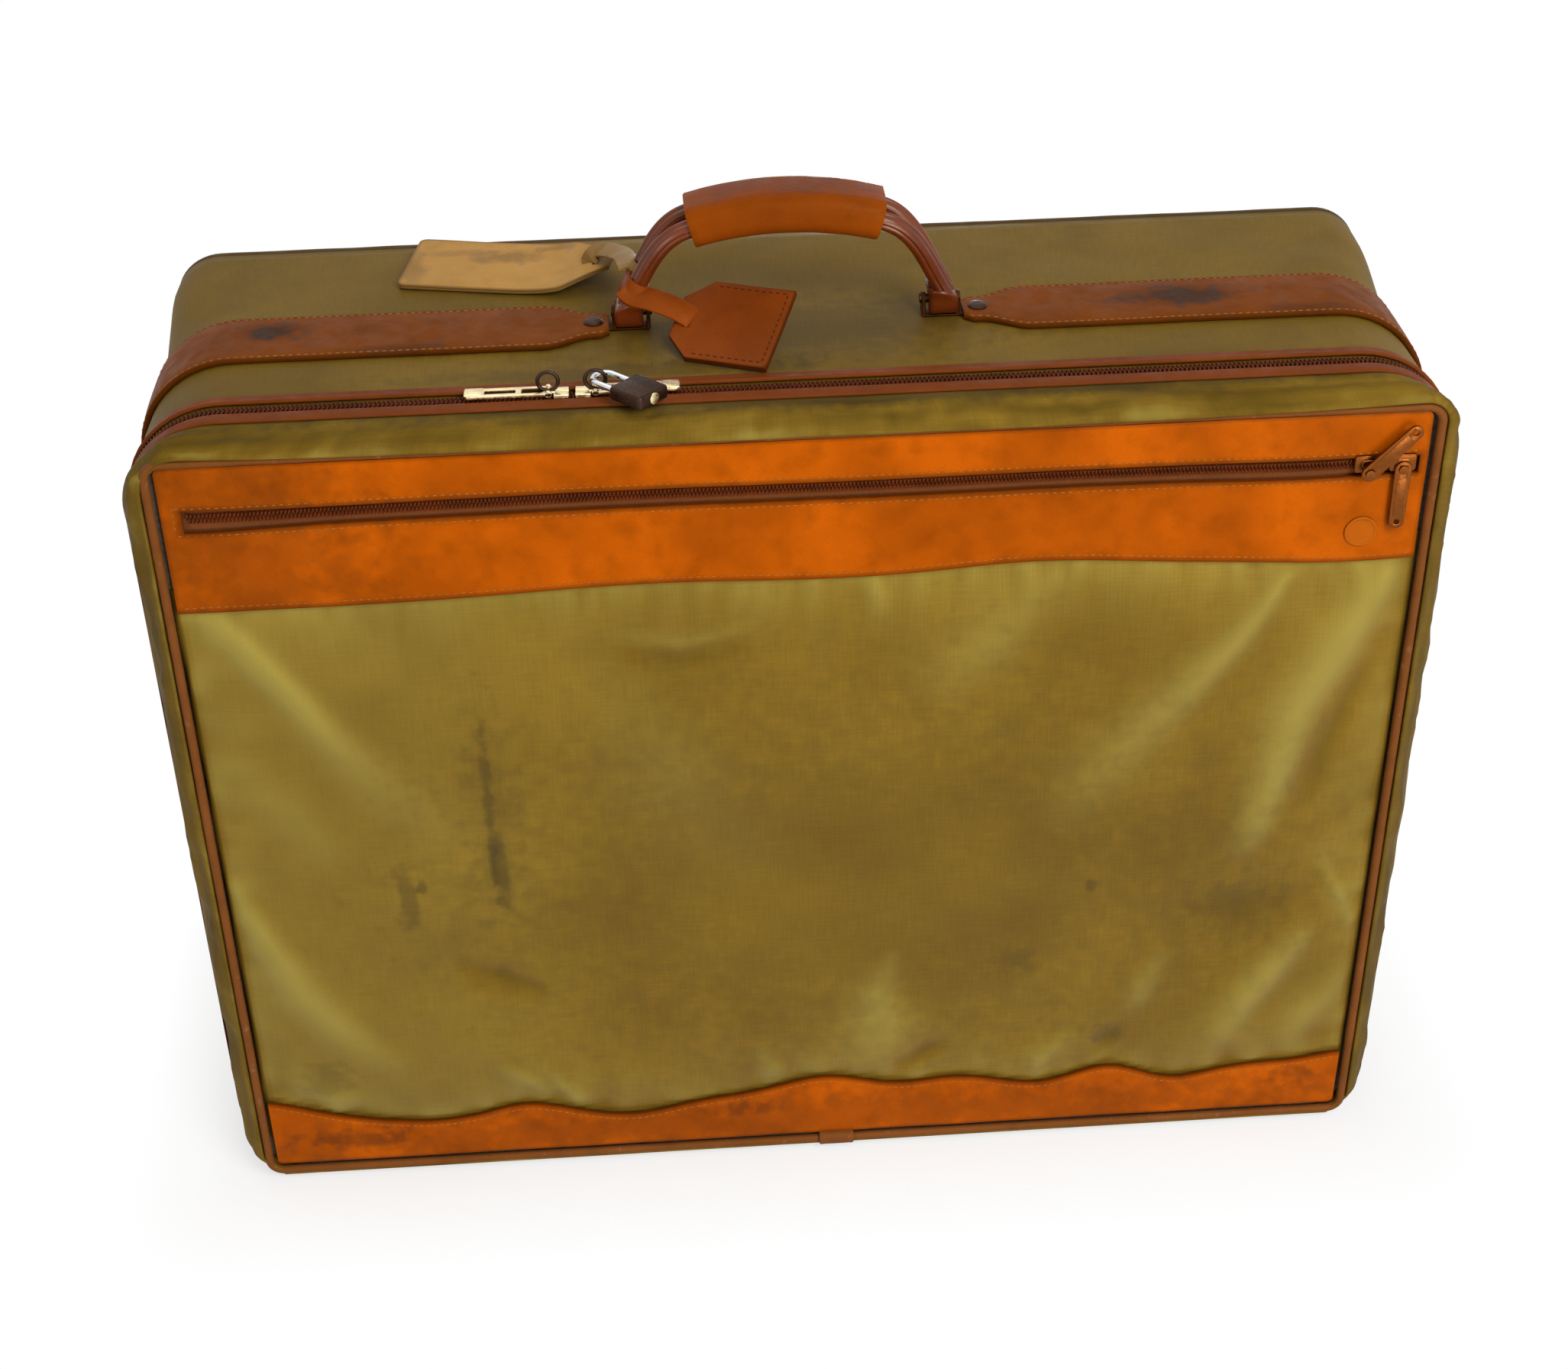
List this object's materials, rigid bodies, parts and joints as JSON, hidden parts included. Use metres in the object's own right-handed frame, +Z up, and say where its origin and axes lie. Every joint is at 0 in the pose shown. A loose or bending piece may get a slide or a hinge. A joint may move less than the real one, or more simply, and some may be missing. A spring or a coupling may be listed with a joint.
{
  "type": "soft-sided suitcase",
  "caption": "Soft-sided zip suitcase of olive nylon with tan leather bands, piping, top straps and arched handle, front pocket, padlocked zip and leather tags.",
  "frame": {"origin": "centre of the bounding box on the floor", "axes": "+X to the right of the front, +Y from the front to the back, +Z up"},
  "size_m": [0.6662, 0.2294, 0.5595],
  "materials": {
    "nylon": "woven nylon, padded",
    "pocket_nylon": "thin woven nylon with a sheen",
    "tan_leather": "smooth bridle leather, waxed",
    "brown_leather": "brown leather, worn",
    "pale_leather": "natural vegetable-tanned leather",
    "zip_tape": "woven polyester tape",
    "zip_coil": "moulded nylon coil",
    "pale_brass": "polished, worn",
    "copper_brass": "antique copper plate",
    "shackle_steel": "bright plate",
    "dark_bronze": "dark oxide",
    "lining": "plain woven lining",
    "fibreboard": "pressed fibre board"
  },
  "bodies": {
    "case": {"gusset_cover": "nylon", "frame_hoop": "fibreboard", "back_board": "fibreboard", "back_panel": "nylon", "back_piping": "brown_leather", "rear_lining": "lining", "zip_welt_rear": "brown_leather", "zip_tape_rear": "zip_tape", "zip_chain_rear": "zip_coil", "hinge_strip": "nylon", "strap_left": "brown_leather", "strap_right": "brown_leather", "strap_rivets": "dark_bronze", "handle_bracket_left": "dark_bronze", "handle_bracket_right": "dark_bronze", "handle_pins": "dark_bronze"},
    "lid": {"lid_gusset": "nylon", "lid_board": "fibreboard", "lid_lining": "lining", "front_piping": "brown_leather", "piping_sleeve": "tan_leather", "zip_welt_lid": "brown_leather", "zip_tape_lid": "zip_tape", "zip_chain_lid": "zip_coil", "pocket_fabric": "pocket_nylon", "pocket_band": "tan_leather", "bottom_band": "tan_leather", "pocket_zip_tape": "zip_tape", "pocket_zip_chain": "zip_coil", "leather_disc": "tan_leather"},
    "handle": {"handle_grip": "tan_leather", "handle_cord_front": "brown_leather", "handle_cord_back": "brown_leather", "handle_end_left": "brown_leather", "handle_end_right": "brown_leather", "name_tag_strap": "pale_leather", "brown_tag_strap": "brown_leather"},
    "slider_left": {"main_slider_left": "pale_brass"},
    "pull_left": {"main_pull_left": "pale_brass"},
    "slider_right": {"main_slider_right": "pale_brass"},
    "pull_right": {"main_pull_right": "pale_brass"},
    "shackle": {"padlock_shackle": "shackle_steel"},
    "lock": {"padlock_body": "dark_bronze", "padlock_plug": "pale_brass"},
    "pocket_slider_left": {"pocket_slider_left": "copper_brass"},
    "pocket_slider_right": {"pocket_slider_right": "copper_brass"},
    "pocket_pull_left": {"pocket_pull_left": "copper_brass"},
    "pocket_pull_right": {"pocket_pull_right": "copper_brass"},
    "name_tag": {"name_tag_top": "pale_leather", "name_tag_back": "pale_leather"},
    "brown_tag": {"brown_tag_top": "brown_leather", "brown_tag_back": "brown_leather"}
  },
  "joints": [
    {"name": "lid_hinge", "type": "hinge", "parent": "case", "child": "lid", "pos_m": [0, -0.07995, 0], "axis": [1, 0, 0], "range_deg": [0, 175], "deforming": ["hinge_strip"]},
    {"name": "handle_swing", "type": "hinge", "parent": "case", "child": "handle", "pos_m": [0, -0.005, 0.495], "axis": [-1, 0, 0], "range_deg": [-45, 60], "deforming": ["name_tag_strap", "brown_tag_strap"]},
    {"name": "slider_left_slide", "type": "slide", "parent": "case", "child": "slider_left", "axis": [-1, 0, 0], "range_m": [0, 0.154]},
    {"name": "pull_left_flip", "type": "hinge", "parent": "slider_left", "child": "pull_left", "pos_m": [-0.121, -0.07995, 0.4889], "axis": [0, 1, 0], "range_deg": [0, 100]},
    {"name": "slider_right_slide", "type": "slide", "parent": "case", "child": "slider_right", "axis": [1, 0, 0], "range_m": [0, 0.373]},
    {"name": "padlock_swing", "type": "hinge", "parent": "slider_right", "child": "shackle", "pos_m": [-0.098, -0.07995, 0.4942], "axis": [0, -1, 0], "range_deg": [0, 90]},
    {"name": "pull_right_flip", "type": "hinge", "parent": "slider_right", "child": "pull_right", "pos_m": [-0.098, -0.07995, 0.4889], "axis": [0, -1, 0], "range_deg": [0, 45]},
    {"name": "lock_slide", "type": "slide", "parent": "shackle", "child": "lock", "axis": [0.7071, -0.7071, 0], "range_m": [0, 0.006]},
    {"name": "pocket_slider_left_slide", "type": "slide", "parent": "lid", "child": "pocket_slider_left", "axis": [1, 0, 0], "range_m": [-0.56, 0]},
    {"name": "pocket_slider_right_slide", "type": "slide", "parent": "lid", "child": "pocket_slider_right", "axis": [1, 0, 0], "range_m": [-0.28, 0]},
    {"name": "pocket_pull_left_swing", "type": "hinge", "parent": "pocket_slider_left", "child": "pocket_pull_left", "pos_m": [0.281, -0.112, 0.44], "axis": [0, 1, 0], "range_deg": [-40, 137]},
    {"name": "pocket_pull_right_swing", "type": "hinge", "parent": "pocket_slider_right", "child": "pocket_pull_right", "pos_m": [0.2985, -0.11, 0.44], "axis": [0, 1, 0], "range_deg": [-12, 60]},
    {"name": "name_tag_lift", "type": "hinge", "parent": "case", "child": "name_tag", "pos_m": [-0.0884, 0.05469, 0.48821], "axis": [0.2074, 0.9758, 0.0698], "range_deg": [0, 60]},
    {"name": "brown_tag_roll", "type": "hinge", "parent": "case", "child": "brown_tag", "pos_m": [-0.06, -0.021, 0.498], "axis": [-0.9205, 0.3907, 0], "range_deg": [0, 20]}
  ],
  "couplings": [
    {"joint": "pull_right_flip", "follows": "padlock_swing", "ratio": 0.5},
    {"joint": "pocket_slider_right_slide", "follows": "pocket_slider_left_slide", "ratio": 0.5}
  ]
}
